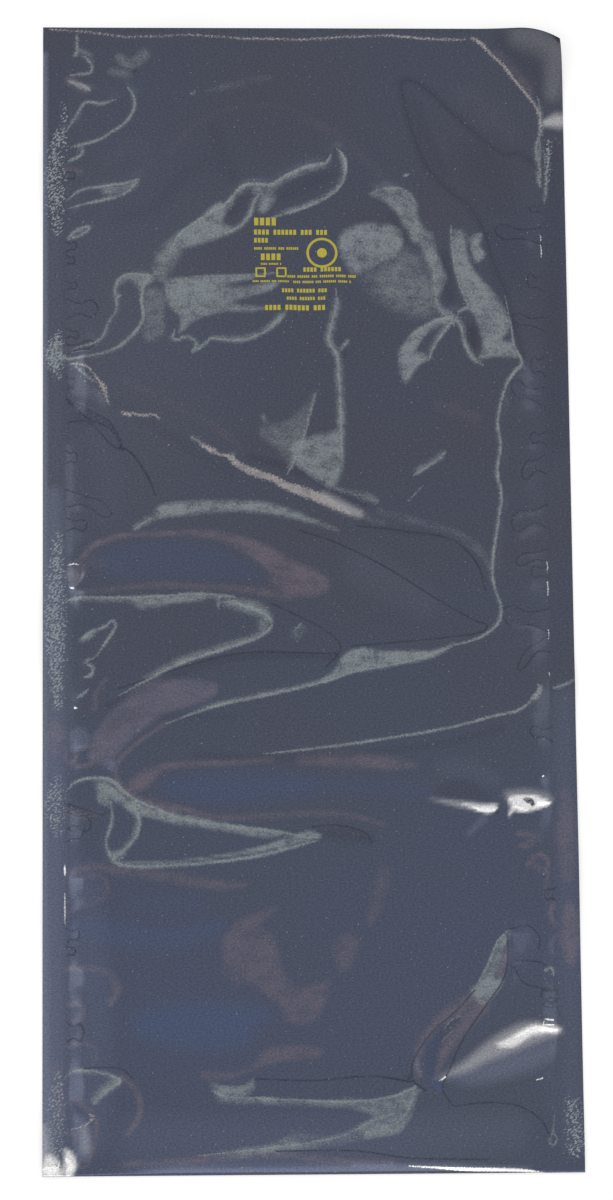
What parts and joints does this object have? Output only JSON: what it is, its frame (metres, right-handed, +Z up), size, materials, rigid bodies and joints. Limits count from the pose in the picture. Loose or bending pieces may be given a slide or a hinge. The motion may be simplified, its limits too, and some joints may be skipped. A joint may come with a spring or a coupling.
{
  "type": "anti static shielding bag",
  "caption": "Empty flat pouch of shielding film, heat sealed down both long sides, open at the mouth, lying on its back with one corner curled up.",
  "frame": {"origin": "on the table under the middle of the pouch", "axes": "+X across the pouch, +Y from the folded foot to the open mouth, +Z up from the table"},
  "size_m": [0.278, 0.61, 0.0129],
  "materials": {
    "shielding_film": "metallised film, dark slate, satin gloss with fine embossed seals"
  },
  "bodies": {
    "root": {"pouch": "shielding_film"}
  },
  "joints": []
}
